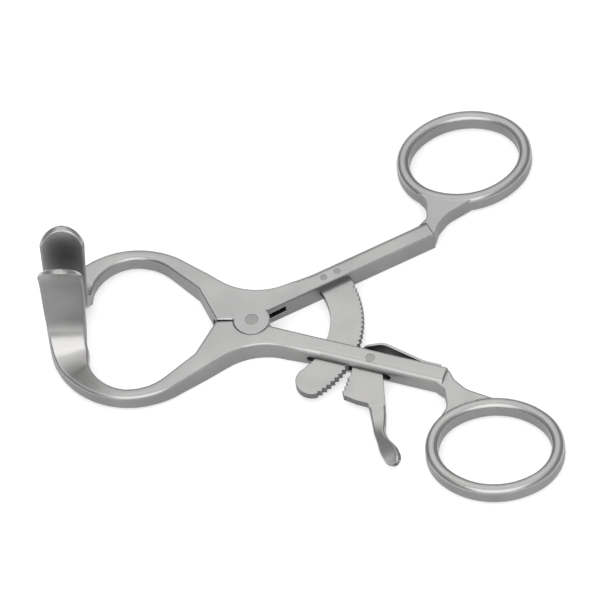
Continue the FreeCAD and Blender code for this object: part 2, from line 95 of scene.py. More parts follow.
# Steel: the tilts are |normal z|, 1 on a level top and 0 on an upright wall
# Faces below these tilts count as walls, which get painted shade
SHADED_WALL_TILT = (0.1, 0.5)
# Edges between these tilts get a painted highlight
HIGHLIGHT_RIM_TILT = (0.25, 0.55, 0.8, 0.97)
PATCHES = (0.3, 0.7)  # noise values between which the clouding goes from dark to light
MARKS = (0.62, 0.72)  # noise values from which handling marks show
MARK_TURN = (0.2, 0.1, 0.7)
MARK_STRETCH = (1.0, 14.0, 4.0)
# Painted highlight on the rounded edges: its share and how bright it is
RIM_HIGHLIGHT_SHARE, RIM_HIGHLIGHT_BRIGHT = 0.6, 1.45
MARK_SHARE, MARK_BRIGHT = 0.07, 1.25
CLOUD_ROUGH, TILT_ROUGH = 0.16, 0.08  # what the clouding, the walls and the rims do to the roughness
GRAIN_RELIEF, MARK_RELIEF = 0.6, 0.1
BEVEL_SAMPLES = 8

# Pins set flush: a hairline ring, and edges left sharp near it, in metres
HAIRLINE = 0.00012
HAIRLINE_SHARE, HAIRLINE_GREY = 0.22, 0.12
SHARP_FROM, SHARP_TO = 0.0003, 0.0009

# Pin heads: rings of the ball that they are made from, its base, and their radius as a share of the pin's
HEAD_RINGS = 24
HEAD_BASE = -0.5
HEAD_SHARE = 0.97

# Pawl's tail: edge radius as a share of its thickness, and how the tab's end runs out, drifts and thins
TAIL_EDGE = 0.32
TAB_TURN, TAB_RUN, TAB_DRIFT, TAB_THIN = 84, 0.95, 0.3, 0.35

# Pawl's tail: down from the pin, shift, rise, width, thickness in millimetres, and twist in degrees
TAIL_STATIONS = (
    (16.0, 0.62, 0.0, 3.9, 1.9, 2.0),
    (18.8, 0.6, 0.0, 3.4, 1.9, 8.0),
    (21.6, 0.6, 0.1, 2.9, 1.9, 20.0),
    (24.4, 1.3, 0.2, 3.3, 1.8, 34.0),
)

SENSOR, CAMERA_END = 36.0, 20.0  # millimetres and metres

# Name, place in metres, side of the square and the name of the power's setting
LAMPS = (
    ("key lamp", (-0.05, -0.85, 0.8), 1.2, "key"),
    ("top lamp", (0.0, 0.1, 1.3), 1.6, "top"),
    ("back lamp", (-0.1, 0.85, 1.0), 0.9, "back"),
)


def joint_place(name):
    """A point on a joint's axis, at the middle of the arms."""
    joint = next(j for j in frame["joints"] if j["name"] == name)
    return Vector(joint["pos_m"])


def node_middle(name):
    """Middle of a CAD node's box."""
    low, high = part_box(name)
    return (low + high) / 2


def node_radius(name):
    """Radius of an upright pin."""
    low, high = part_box(name)
    return (high.x - low.x) / 2


# Shader and geometry trees


class Socket:
    """A node's output that can be used in sums, as a number or a vector."""

    def __init__(self, tree, link):
        self.tree = tree
        self.link = link

    def _math(self, operation, *values):
        return self.tree.add("ShaderNodeMath", {"operation": operation}, dict(enumerate(values)))

    def __add__(self, other):
        return self._math("ADD", self, other)

    def __radd__(self, other):
        return self._math("ADD", other, self)

    def __sub__(self, other):
        return self._math("SUBTRACT", self, other)

    def __rsub__(self, other):
        return self._math("SUBTRACT", other, self)

    def __mul__(self, other):
        return self._math("MULTIPLY", self, other)

    def __rmul__(self, other):
        return self._math("MULTIPLY", other, self)

    def __truediv__(self, other):
        return self._math("DIVIDE", self, other)

    def __abs__(self):
        return self._math("ABSOLUTE", self)

    def smooth(self, start, end):
        """0 before start, 1 after end, and a soft step between."""
        return self.tree.add(
            "ShaderNodeMapRange",
            {"interpolation_type": "SMOOTHSTEP"},
            {"Value": self, "From Min": start, "From Max": end},
        )


class Tree:
    """A node tree that is written down as calls."""

    def __init__(self, tree):
        self.tree = tree
        tree.nodes.clear()

    def add(self, kind, settings=None, values=None, out=0):
        """Make a node, set its settings first and then its sockets' values or links."""
        node = self.tree.nodes.new(kind)
        for name, value in (settings or {}).items():
            setattr(node, name, value)
        for name, value in (values or {}).items():
            if isinstance(value, Socket):
                self.tree.links.new(value.link, node.inputs[name])
            else:
                node.inputs[name].default_value = value
        return Socket(self, node.outputs[out]) if len(node.outputs) else node

    def mix(self, factor, first, second):
        """Mix two colours."""
        return self.add("ShaderNodeMix", {"data_type": "RGBA"}, {0: factor, 6: first, 7: second}, out=2)

    def noise(self, place, scale, detail):
        """Cloudy noise from 0 to 1."""
        return self.add("ShaderNodeTexNoise", values={"Vector": place, "Scale": scale, "Detail": detail})


def grey(level, warmth=0.0):
    """A grey with a little warmth, as a colour."""
    return (level * (1 + warmth), level, level * (1 - warmth), 1.0)


def new_material(name):
    """An empty material and its tree."""
    material = bpy.data.materials.new(name)
    material.use_nodes = True
    return material, Tree(material.node_tree)


def satin_steel(name, finish, shaded_wall_level, seams=(), softened=True, top_level=None):
    """Blasted and ground steel: even tops, walls darkened with painted shade, a painted highlight on the
    rims, clouding, grain and handling marks.

    seams are (place, radius) of pins set flush in the piece; each gets a hairline ring.
    softened rounds the edges' shading and paints a highlight on them. top_level replaces the finish's own
    grey.
    """
    material, tree = new_material(name)
    place = tree.add("ShaderNodeTexCoord", out=3)
    normal = tree.add("ShaderNodeNewGeometry", out=1)
    rounded = normal
    if softened:
        rounded = tree.add("ShaderNodeBevel", {"samples": BEVEL_SAMPLES}, {"Radius": finish.edge_round})
    height = abs(tree.add("ShaderNodeSeparateXYZ", values={0: rounded}, out=2))
    clouds = tree.noise(place, finish.cloud_scale, 3.0)
    grain = tree.noise(place, finish.grain_scale, 2.0)
    turned = {"Vector": place, "Rotation": MARK_TURN, "Scale": MARK_STRETCH}
    marks = tree.noise(tree.add("ShaderNodeMapping", values=turned), finish.cloud_scale * 1.6, 4.0)
    scratches = marks.smooth(*MARKS)
    # side marks the upright walls, which get painted shade and a rougher finish
    side = 1 - height.smooth(*SHADED_WALL_TILT)
    # This mask marks the rounded edges, which get a painted highlight and a smoother finish
    highlight_rim = height.smooth(*HIGHLIGHT_RIM_TILT[:2]) * (1 - height.smooth(*HIGHLIGHT_RIM_TILT[2:]))
    patches = clouds.smooth(*PATCHES)
    level = finish.level if top_level is None else top_level
    # Tops keep the steel's grey; walls take a darker grey as painted shade
    top_colour = tree.mix(patches, grey(level * 0.9, 0.006), grey(level * 1.1, 0.012))
    painted_shade_colour = tree.mix(patches, grey(shaded_wall_level * 0.88, 0.0), grey(shaded_wall_level * 1.12, 0.01))
    colour = tree.mix(side, top_colour, painted_shade_colour)
    if softened:
        # Painted highlight on the rounded edges
        colour = tree.mix(highlight_rim * RIM_HIGHLIGHT_SHARE, colour, grey(finish.level * RIM_HIGHLIGHT_BRIGHT, 0.008))
    colour = tree.mix(scratches * MARK_SHARE, colour, grey(finish.level * MARK_BRIGHT, 0.01))
    rough = finish.roughness + (clouds - 0.5) * CLOUD_ROUGH + side * TILT_ROUGH - highlight_rim * TILT_ROUGH
    for centre, radius in seams:
        offset = tree.add("ShaderNodeVectorMath", {"operation": "SUBTRACT"}, {0: place, 1: centre})
        flat = tree.add("ShaderNodeVectorMath", {"operation": "MULTIPLY"}, {0: offset, 1: (1.0, 1.0, 0.0)})
        reach = tree.add("ShaderNodeVectorMath", {"operation": "LENGTH"}, {0: flat}, out=1)
        ring = 1 - (abs(reach - radius) / HAIRLINE).smooth(0.3, 1.0)
        colour = tree.mix(ring * (1 - side) * HAIRLINE_SHARE, colour, grey(HAIRLINE_GREY))
        near = 1 - (reach - radius).smooth(SHARP_FROM, SHARP_TO)
        blend = {0: near, 4: rounded, 5: normal}
        rounded = tree.add("ShaderNodeMix", {"data_type": "VECTOR"}, blend, out=1)
    bump = tree.add(
        "ShaderNodeBump",
        values={
            "Strength": finish.grain_strength,
            "Distance": finish.grain_depth,
            "Height": grain * GRAIN_RELIEF + marks * MARK_RELIEF,
            "Normal": rounded,
        },
    )
    shader = tree.add(
        "ShaderNodeBsdfPrincipled",
        values={"Base Color": colour, "Metallic": 1.0, "Roughness": rough, "Normal": bump},
    )
    tree.add("ShaderNodeOutputMaterial", values={"Surface": shader})
    return material


def assign(node, material):
    """Give a CAD node a finish through its object's slots."""
    if not NODES[node].material_slots:
        raise RuntimeError(f"{node} has no material slot")
    for slot in NODES[node].material_slots:
        slot.material = material


def mesh_piece(name, mesh, body, material):
    """Turn a mesh into a finished piece that rides on a body."""
    piece = bpy.data.objects.new(name, mesh)
    bpy.context.scene.collection.objects.link(piece)
    mesh.materials.clear()
    mesh.materials.append(material)
    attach(piece, body)
    return piece


# Sizes and colours


class ForgedFinish(bpy.types.PropertyGroup):
    """Look of the forged arms."""

    level: bpy.props.FloatProperty(
        name="Steel", description="Grey of the ground tops", default=0.36, min=0, max=1
    )
    # The walls' grey is painted shade: darker than the tops
    shaded_wall_level: bpy.props.FloatProperty(
        name="Walls", description="Grey of the side walls", default=0.25, min=0, max=1
    )
    roughness: bpy.props.FloatProperty(
        name="Roughness", description="Of the satin tops", default=0.36, min=0, max=1
    )
    cloud_scale: bpy.props.FloatProperty(
        name="Clouding", description="Clouds per metre", default=60.0, min=1
    )
    grain_scale: bpy.props.FloatProperty(
        name="Grain", description="Blasted grains per metre", default=2600.0, min=1
    )
    grain_strength: bpy.props.FloatProperty(
        name="Grain strength", description="Of the relief", default=0.25, min=0
    )
    grain_depth: bpy.props.FloatProperty(
        name="Grain depth",
        description="Depth of the blasted grain",
        default=0.00003,
        min=0,
        unit="LENGTH",
        precision=6,
    )
    edge_round: bpy.props.FloatProperty(
        name="Edges",
        description="Radius that tumbling gives the edges",
        default=0.0006,
        min=0,
        unit="LENGTH",
        precision=5,
    )


class Jaw(bpy.types.PropertyGroup):
    """Sizes of a jaw in its own frame, in millimetres."""

    reach: bpy.props.FloatProperty(
        name="Reach", description="Pivot to the far side of the bend", default=50.6
    )
    bend_radius: bpy.props.FloatProperty(name="Bend", description="Outer radius of the bend", default=20.5)
    bend_height: bpy.props.FloatProperty(
        name="Bend height", description="Of the bend's centre", default=3.1
    )
    slope: bpy.props.FloatProperty(name="Slope", description="Of the shank, in degrees", default=35.8)
    middle: bpy.props.FloatProperty(name="Middle", description="Height of the arms' middle", default=3.0)
    cut_run: bpy.props.FloatProperty(
        name="Shank", description="Straight shank before the bend", default=9.3
    )
    lug_width: bpy.props.FloatProperty(
        name="Lug width", description="Of the jaw at the joint block", default=6.0
    )
    widen_run: bpy.props.FloatProperty(name="Widening", description="Bend to the joint block", default=16.0)
    shank_width: bpy.props.FloatProperty(name="Shank width", description="At the bend", default=4.2)
    bulge_width: bpy.props.FloatProperty(
        name="Narrow width", description="Least width in the bend", default=3.3
    )
    narrow_share: bpy.props.FloatProperty(
        name="Narrow place", description="Share of the bend before it", default=0.38
    )
    band_width: bpy.props.FloatProperty(
        name="Strap width", description="Where the blade starts", default=8.6
    )
    band_angle: bpy.props.FloatProperty(
        name="Strap angle", description="End of the bend, in degrees", default=152.0
    )
    bend_thickness: bpy.props.FloatProperty(name="Bend thickness", description="At its start", default=5.2)
    band_thickness: bpy.props.FloatProperty(
        name="Strap thickness", description="At the blade's root", default=4.0
    )
    bend_slack: bpy.props.FloatProperty(
        name="Slack", description="Middle line's radius over the strap's", default=0.8
    )
    edge: bpy.props.FloatProperty(name="Edge", description="Radius of the shank's edges", default=0.55)
    band_edge: bpy.props.FloatProperty(
        name="Strap edge", description="Radius of the bend's edges", default=1.0
    )
    blade_edge: bpy.props.FloatProperty(
        name="Blade edge", description="Radius of the blade's edges", default=0.6
    )
    corner_steps: bpy.props.IntProperty(name="Edge steps", description="Faces round an edge", default=3)
    bend_steps: bpy.props.IntProperty(name="Bend steps", description="Faces round the bend", default=40)
    root_steps: bpy.props.IntProperty(
        name="Root steps", description="Faces up the blade's root", default=18
    )
    blade_steps: bpy.props.IntProperty(name="Blade steps", description="Faces up the blade", default=26)
    end_steps: bpy.props.IntProperty(
        name="End steps", description="Faces round half the blade's end", default=12
    )
    root_radius: bpy.props.FloatProperty(
        name="Root", description="Inner radius of the blade's root", default=9.5
    )
    heel: bpy.props.FloatProperty(name="Heel", description="Height of the root's rounded heel", default=8.0)
    blade_out: bpy.props.FloatProperty(
        name="Blade place", description="Blade's face from the middle", default=5.2
    )
    blade_middle: bpy.props.FloatProperty(
        name="Blade middle", description="Of the blade's width", default=-45.8
    )
    blade_root_width: bpy.props.FloatProperty(name="Root width", description="Of the blade", default=9.9)
    blade_width: bpy.props.FloatProperty(name="Blade width", description="At its end", default=11.35)
    blade_thickness: bpy.props.FloatProperty(
        name="Blade", description="Thickness of the blade", default=1.6
    )
    height: bpy.props.FloatProperty(name="Height", description="Of the blade's end", default=35.6)
    end_radius: bpy.props.FloatProperty(
        name="End", description="Radius of the blade's corners", default=5.3
    )
    flare: bpy.props.FloatProperty(name="Flare", description="Of the blade's end, outwards", default=2.4)
    bow: bpy.props.FloatProperty(name="Bow", description="Of the blade, inwards", default=0.35)
    lean: bpy.props.FloatProperty(name="Lean", description="Of the blade's end along the jaw", default=0.5)
    tongue_radius: bpy.props.FloatProperty(
        name="Tongue", description="Radius of the joint's tongue", default=7.0
    )
    tongue_seen: bpy.props.FloatProperty(
        name="Tongue seen", description="Radius of its finished edge", default=4.55
    )
    slot_seen: bpy.props.FloatProperty(
        name="Joint slot", description="Radius of the slot's end", default=9.6
    )


class Tail(bpy.types.PropertyGroup):
    """Sizes of the pawl's tail, in millimetres from its pin."""

    cut: bpy.props.FloatProperty(name="Start", description="Pin to the start of the tail", default=13.6)
    tab_width: bpy.props.FloatProperty(name="Tab", description="Width of the thumb tab", default=4.9)
    steps: bpy.props.IntProperty(name="Steps", description="Faces along the tail", default=48)
    end_steps: bpy.props.IntProperty(name="End steps", description="Faces round the tab's end", default=8)


class PlateFinish(bpy.types.PropertyGroup):
    """Look of the sector, the pawl and the spring."""

    level: bpy.props.FloatProperty(
        name="Steel", description="Grey of the plates", default=0.35, min=0, max=1
    )
    # The cut edges' grey is painted shade: darker than the plates
    shaded_wall_level: bpy.props.FloatProperty(
        name="Edges", description="Grey of the cut edges", default=0.14, min=0, max=1
    )
    roughness: bpy.props.FloatProperty(
        name="Roughness", description="Of the plates", default=0.33, min=0, max=1
    )
    cloud_scale: bpy.props.FloatProperty(
        name="Clouding", description="Clouds per metre", default=90.0, min=1
    )
    grain_scale: bpy.props.FloatProperty(
        name="Grain", description="Grains per metre", default=3200.0, min=1
    )
    grain_strength: bpy.props.FloatProperty(
        name="Grain strength", description="Of the relief", default=0.2, min=0
    )
    grain_depth: bpy.props.FloatProperty(
        name="Grain depth",
        description="Depth of the grain",
        default=0.00002,
        min=0,
        unit="LENGTH",
        precision=6,
    )
    edge_round: bpy.props.FloatProperty(
        name="Edges",
        description="Radius that tumbling gives the edges",
        default=0.0003,
        min=0,
        unit="LENGTH",
        precision=5,
    )


class PinHeads(bpy.types.PropertyGroup):
    """Shape and look of the heads on the flush pins."""

    crown: bpy.props.FloatProperty(
        name="Crown",
        description="Height of a head over the arm",
        default=0.00003,
        min=0,
        unit="LENGTH",
        precision=6,
    )
    segments: bpy.props.IntProperty(name="Segments", description="Sides of a head", default=40, min=12)
    level: bpy.props.FloatProperty(
        name="Steel", description="Grey of the heads", default=0.25, min=0, max=1
    )


class Studio(bpy.types.PropertyGroup):
    """Camera, light and floor."""

    elevation: bpy.props.FloatProperty(
        name="Elevation", description="Camera above the floor", default=math.radians(52), subtype="ANGLE"
    )
    roll: bpy.props.FloatProperty(
        name="Roll", description="Camera roll", default=math.radians(-7), subtype="ANGLE"
    )
    turn: bpy.props.FloatProperty(
        name="Turn", description="Camera round the pivot", default=math.radians(-1.5), subtype="ANGLE"
    )
    distance: bpy.props.FloatProperty(
        name="Distance", description="Camera to the pivot", default=2.0, unit="LENGTH"
    )
    lens: bpy.props.FloatProperty(name="Lens", description="Focal length in millimetres", default=480.0)
    world: bpy.props.FloatProperty(name="Surround", description="Light of the surround", default=0.4, min=0)
    key: bpy.props.FloatProperty(
        name="Key", description="Power of the lamp over the camera", default=6.6, min=0
    )
    top: bpy.props.FloatProperty(name="Top", description="Power of the lamp overhead", default=7.0, min=0)
    back: bpy.props.FloatProperty(name="Back", description="Power of the far lamp", default=2.2, min=0)
    floor: bpy.props.FloatProperty(
        name="Floor", description="Half the floor's side", default=12.0, unit="LENGTH"
    )
    floor_grey: bpy.props.FloatProperty(name="Floor grey", description="Of the floor's paper", default=0.8)
    floor_glow: bpy.props.FloatProperty(
        name="Floor glow", description="Light that the floor seems to give", default=0.45
    )
    shift_across: bpy.props.FloatProperty(
        name="Shift across",
        description="Picture's middle right of the pivot",
        default=0.011875,
        unit="LENGTH",
        precision=6,
    )
    shift_up: bpy.props.FloatProperty(
        name="Shift up",
        description="Picture's middle over the pivot",
        default=0.006625,
        unit="LENGTH",
        precision=6,
    )


# Pieces


def jaw_point(x, y, z, side):
    """A point of the jaws' own frame, in millimetres, as a place in the object's frame."""
    turn = math.radians(-JAW_TURN)
    y *= side
    cosine, sine = math.cos(turn), math.sin(turn)
    return Vector((x * cosine - y * sine, x * sine + y * cosine, z)) * MM


def soft_box(jaw, inner, outer, width, edge, side):
    """Ring of points round a strap: inner and outer are (x, y, z, angle) on its two faces."""
    edge = min(edge, width * EDGE_SHARE)
    corners = []
    for (x, y, z, angle), sign in ((inner, 1), (outer, -1)):
        across = Vector((math.cos(math.radians(angle)), math.sin(math.radians(angle)), 0))
        middle = Vector((x, y, z))
        corners.append((middle + across * width / 2 * sign, middle - across * width / 2 * sign))
    loop = [corners[0][0], corners[0][1], corners[1][0], corners[1][1]]
    points = []
    for index, corner in enumerate(loop):
        before = (loop[index - 1] - corner).normalized() * edge
        after = (loop[(index + 1) % 4] - corner).normalized() * edge
        for step in range(jaw.corner_steps + 1):
            turn = math.radians(90 * step / jaw.corner_steps)
            points.append(corner + before * (1 - math.sin(turn)) + after * (1 - math.cos(turn)))
    return [jaw_point(*point, side) for point in points]


def bend_start(jaw):
    """Where the shank's straight outer edge runs into the bend, in the jaws' plan."""
    first = math.radians(90 - jaw.slope)
    return (
        jaw.bend_radius - jaw.reach + jaw.bend_radius * math.cos(first),
        jaw.bend_height + jaw.bend_radius * math.sin(first),
    )


def strap_width(jaw, angle):
    """Width of the jaw at an angle round its bend: it narrows, then widens into the blade's root."""
    first = 90 - jaw.slope
    share = min(max((angle - first) / (jaw.band_angle - first), 0), 1)
    if share < jaw.narrow_share:
        return jaw.bulge_width + (jaw.shank_width - jaw.bulge_width) * (1 - share / jaw.narrow_share) ** 2
    widened = (share - jaw.narrow_share) / (1 - jaw.narrow_share)
    return jaw.bulge_width + (jaw.band_width - jaw.bulge_width) * widened**1.5


def strap_path(jaw, left):
    """Middle line of the strap in plan, left millimetres before the blade: (x, y, angle)."""
    centre = (jaw.bend_radius - jaw.reach, jaw.bend_height)
    last = math.radians(jaw.band_angle)
    radius = jaw.bend_radius - jaw.band_width / 2
    end = (centre[0] + radius * math.cos(last), centre[1] + radius * math.sin(last))
    straight = end[1] - jaw.blade_out
    if left < straight:
        swing = (left / straight) ** 2
        x = jaw.blade_middle + (end[0] - jaw.blade_middle) * swing
        return x, jaw.blade_out + left, 180 - (180 - jaw.band_angle) * swing
    angle = jaw.band_angle - math.degrees((left - straight) / (radius + jaw.bend_slack))
    reach = jaw.bend_radius - strap_width(jaw, angle) / 2
    turn = math.radians(angle)
    return centre[0] + reach * math.cos(turn), centre[1] + reach * math.sin(turn), angle


def level_ring(jaw, place, width, thickness, index, side):
    """Ring of the level strap at place (x, y, angle); the edges grow rounder over the first rings."""
    x, y, angle = place
    low, high = jaw.middle - thickness / 2, jaw.middle + thickness / 2
    soft = jaw.edge + (jaw.band_edge - jaw.edge) * min(index / EDGE_RINGS, 1)
    return soft_box(jaw, (x, y, high, angle), (x, y, low, angle), width, soft, side)


def shank_rings(jaw, side):
    """Rings of the straight shank, from the cut to the bend."""
    slope = math.radians(jaw.slope)
    start = bend_start(jaw)
    rings = []
    for run, thickness in SHANK_STATIONS:
        width = jaw.shank_width + (jaw.lug_width - jaw.shank_width) * run / jaw.widen_run
        x = start[0] + run * math.cos(slope) - width / 2 * math.sin(slope)
        y = start[1] - run * math.sin(slope) - width / 2 * math.cos(slope)
        rings.append(level_ring(jaw, (x, y, 90 - jaw.slope), width, thickness, len(rings), side))
    return rings


def bend_rings(jaw, side):
    """Rings round the bend, up to the blade's root; the strap thins on its way."""
    first = 90 - jaw.slope
    total = 0.0
    while strap_path(jaw, total)[2] > first + 2:
        total += PATH_STEP
    rings = []
    for index in range(jaw.bend_steps):
        place = strap_path(jaw, total + (jaw.root_radius - total) * index / jaw.bend_steps)
        share = min((place[2] - first) / (jaw.band_angle - first), 1)
        thickness = jaw.bend_thickness + (jaw.band_thickness - jaw.bend_thickness) * share
        width = strap_width(jaw, place[2])
        rings.append(level_ring(jaw, place, width, thickness, len(SHANK_STATIONS) + index, side))
    return rings


def root_rings(jaw, side):
    """Rings of the root that turns the strap up into the blade, with its round inner face and its heel."""
    low, high = jaw.middle - jaw.band_thickness / 2, jaw.middle + jaw.band_thickness / 2
    rings = []
    for index in range(jaw.root_steps + 1):
        share = index / jaw.root_steps
        pitch = math.radians(90 * share)
        near = jaw.root_radius * (1 - math.sin(pitch))
        far = (jaw.root_radius + jaw.blade_thickness) * (1 - math.sin(pitch)) - jaw.blade_thickness
        x, y, angle = strap_path(jaw, near)
        far_x, far_y, far_angle = strap_path(jaw, max(far, 0))
        inner = (x, y, high + jaw.root_radius * (1 - math.cos(pitch)), angle)
        outer = (far_x, far_y + min(far, 0), low + jaw.heel * (1 - math.cos(pitch)), far_angle)
        width = strap_width(jaw, angle) * (1 - share) + jaw.blade_root_width * share
        soft = jaw.band_edge + (jaw.blade_edge - jaw.band_edge) * share
        rings.append(soft_box(jaw, inner, outer, width, soft, side))
    return rings


def root_top(jaw):
    """Height at which the root's inner face ends and the blade starts."""
    return jaw.middle + jaw.band_thickness / 2 + jaw.root_radius


def blade_rings(jaw, side):
    """Rings up the blade and round its end."""
    root_in, root_out = root_top(jaw), jaw.middle - jaw.band_thickness / 2 + jaw.heel
    rings = []
    for index in range(1, jaw.blade_steps + 1):
        share = index / jaw.blade_steps
        inner_z = root_in + (jaw.height - root_in) * share
        outer_z = root_out + (jaw.height - root_out) * share
        width = jaw.blade_root_width + (jaw.blade_width - jaw.blade_root_width) * share**0.8
        if inner_z < jaw.height - jaw.end_radius:
            rings.append(blade_ring(jaw, inner_z, outer_z, width, side))
    for index in range(1, jaw.end_steps + 1):
        turn = math.radians(90 * index / jaw.end_steps)
        z = jaw.height - jaw.end_radius * (1 - math.sin(turn))
        width = jaw.blade_width - 2 * jaw.end_radius * (1 - math.cos(turn))
        rings.append(blade_ring(jaw, z, z, max(width, jaw.blade_thickness), side))
    return rings


def blade_ring(jaw, inner_z, outer_z, width, side):
    """Ring across the blade, with its bow, its lean and the flare of its end."""
    root = root_top(jaw)

    def risen(z):
        return max((z - root) / (jaw.height - root), 0)

    def out(z):
        share = risen(z)
        return jaw.blade_out + jaw.flare * share**4 - 4 * jaw.bow * share * (1 - share)

    middle = jaw.blade_middle + jaw.lean * risen(inner_z)
    inner = (middle, out(inner_z), inner_z, 180)
    outer = (middle, out(outer_z) - jaw.blade_thickness, outer_z, 180)
    return soft_box(jaw, inner, outer, width, jaw.blade_edge, side)


def ease_handle(bm, side):
    """Draw the joint block's outer edge in to the handle's rounder one, so that they flow together."""
    turn = math.radians(HANDLE_TURN)
    corner = HANDLE_WALL - BLOCK_EDGE
    for vert in bm.verts:
        x, y, z = vert.co / MM
        run = x * math.cos(turn) + y * side * math.sin(turn)
        out = y * side * math.cos(turn) - x * math.sin(turn)
        rise = min(z, ARM_THICKNESS - z)
        if abs(run - BLOCK_END) > BLOCK_EDGE + NEAR or out < corner - NEAR or rise > BLOCK_EDGE + NEAR:
            continue
        if abs(math.hypot(out - corner, BLOCK_EDGE - rise) - BLOCK_EDGE) > NEAR / 2:
            continue
        share = (run - ROUND_FROM[0]) / (ROUND_TO[0] - ROUND_FROM[0])
        radius = ROUND_FROM[1] + (ROUND_TO[1] - ROUND_FROM[1]) * share
        out = HANDLE_WALL - radius + (out - corner) / BLOCK_EDGE * radius
        rise = radius - (BLOCK_EDGE - rise) / BLOCK_EDGE * radius
        vert.co.x = (run * math.cos(turn) - out * math.sin(turn)) * MM
        vert.co.y = (run * math.sin(turn) + out * math.cos(turn)) * MM * side
        vert.co.z = (rise if z < ARM_THICKNESS / 2 else ARM_THICKNESS - rise) * MM
    bmesh.ops.dissolve_degenerate(bm, dist=SLIVER, edges=bm.edges)


def open_joint(bm, jaw, side):
    """Draw in the lower arm's seen tongue, or move the end of the upper arm's slot out."""
    target = jaw.tongue_radius if side < 0 else jaw.tongue_radius + JOINT_GAP
    grow = (jaw.tongue_seen if side < 0 else jaw.slot_seen) / jaw.tongue_radius
    for vert in bm.verts:
        angle = math.degrees(math.atan2(vert.co.y, vert.co.x))
        seen = side > 0 or EXPOSED[0] < angle < EXPOSED[1]
        inside = abs(vert.co.z / MM - jaw.middle) < TONGUE_HALF
        if seen and inside and abs(math.hypot(vert.co.x, vert.co.y) / MM - target) < NEAR:
            vert.co.x *= grow
            vert.co.y *= grow


def copied(node):
    """A CAD node's mesh, welded, to work on."""
    bm = bmesh.new()
    bm.from_mesh(NODES[node].data)
    bmesh.ops.remove_doubles(bm, verts=bm.verts, dist=WELD)
    return bm


def regrown(name, bm, cut, facing, rings):
    """Cut a mesh off at a plane and carry it on through rings of points to a closed end."""
    everything = list(bm.verts) + list(bm.edges) + list(bm.faces)
    bmesh.ops.bisect_plane(bm, geom=everything, plane_co=cut, plane_no=facing, clear_outer=True)
    open_edges = [edge for edge in bm.edges if edge.is_boundary]
    if not open_edges:
        raise RuntimeError(f"{name} was not cut")
    rings = [[bm.verts.new(point) for point in ring] for ring in rings]
    count = len(rings[0])
    for near, far in zip(rings, rings[1:]):
        for index in range(count):
            after = (index + 1) % count
            bm.faces.new((near[index], near[after], far[after], far[index]))
    bm.faces.new(rings[-1])
    first = rings[0]
    first_edges = [bm.edges.get((first[index], first[(index + 1) % count])) for index in range(count)]
    bmesh.ops.bridge_loops(bm, edges=open_edges + first_edges)
    bmesh.ops.recalc_face_normals(bm, faces=bm.faces)
    mesh = bpy.data.meshes.new(name)
    bm.to_mesh(mesh)
    bm.free()
    return shaded(mesh)


def forged_arm(node, jaw, side):
    """Copy of an arm's mesh whose jaw is cut off at the shank and forged anew with a flowing blade."""
    bm = copied(node)
    open_joint(bm, jaw, side)
    ease_handle(bm, side)
    slope = math.radians(jaw.slope)
    start = bend_start(jaw)
    x = start[0] + jaw.cut_run * math.cos(slope)
    y = start[1] - jaw.cut_run * math.sin(slope)
    place = jaw_point(x, y, jaw.middle, side)
    ahead = jaw_point(x - math.cos(slope), y + math.sin(slope), jaw.middle, side)
    rings = shank_rings(jaw, side) + bend_rings(jaw, side) + root_rings(jaw, side) + blade_rings(jaw, side)
    return regrown(f"{node} forging", bm, place, (ahead - place).normalized(), rings)


def shaded(mesh, limit=32):
    """Shade a mesh's large flat faces flat and its small rounds smooth, up to a limit in degrees."""
    faces_at = [[] for _ in mesh.vertices]
    for face in mesh.polygons:
        face.use_smooth = True
        for vert in face.vertices:
            faces_at[vert].append(face)
    close = math.cos(math.radians(limit))
    normals = []
    for face in mesh.polygons:
        for vert in face.vertices:
            total = face.normal * face.area
            for other in faces_at[vert]:
                if other is not face and other.normal.dot(face.normal) > close:
                    total = total + other.normal * other.area
            normals.append(total.normalized() if total.length else face.normal.copy())
    mesh.normals_split_custom_set(normals)
    return mesh


class GAG_OT_arms(bpy.types.Operator):
    """The two forged arms: satin finish, flowing blades, with a faint hairline round each flush pin"""

    bl_idname = "gag.arms"
    bl_label = "Finish arms"

    def execute(self, context):
        finish = context.scene.gag_forged
        pins = {
            "upper_arm": ("pivot_pin", "sector_rivet_front", "sector_rivet_rear"),
            "lower_arm": ("pawl_pin",),
        }
        for arm, names in pins.items():
            seams = [(node_middle(name), node_radius(name)) for name in names]
            # The finish's wall grey paints shade on the arm's walls
            steel = satin_steel(f"forged steel {arm}", finish, finish.shaded_wall_level, seams)
            side = 1 if arm == "upper_arm" else -1
            mesh = forged_arm(arm, context.scene.gag_jaw, side)
            piece = mesh_piece(f"{arm}_forging", mesh, arm.split("_")[0], steel)
            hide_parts(arm)
        return {"FINISHED"}


def tail_ring(pin, down, shift, rise, width, thickness, twist):
    """Ring of points round the pawl's tail, in metres; twist turns its width out of the plate."""
    turn = math.radians(twist)
    across = Vector((math.cos(turn), 0, math.sin(turn)))
    through = Vector((-math.sin(turn), 0, math.cos(turn)))
    edge = thickness * TAIL_EDGE
    points = []
    for quarter in range(4):
        x = width / 2 - edge if quarter in (0, 3) else edge - width / 2
        z = thickness / 2 - edge if quarter in (0, 1) else edge - thickness / 2
        for step in range(4):
            angle = math.radians(90 * quarter + 30 * step)
            points.append((x + edge * math.cos(angle), z + edge * math.sin(angle)))
    middle = pin + Vector((shift, -down, rise)) * MM
    return [middle + (across * x + through * z) * MM for x, z in points]


def between(stations, place):
    """A smooth value between stations, each a list of numbers."""
    index = min(int(place), len(stations) - 2)
    share = place - index
    before, after = stations[max(index - 1, 0)], stations[min(index + 2, len(stations) - 1)]
    values = []
    for a, b, c, d in zip(before, stations[index], stations[index + 1], after):
        rise = (c - a) * share
        bend = (2 * a - 5 * b + 4 * c - d) * share**2 + (3 * b - a - 3 * c + d) * share**3
        values.append(0.5 * (2 * b + rise + bend))
    return values


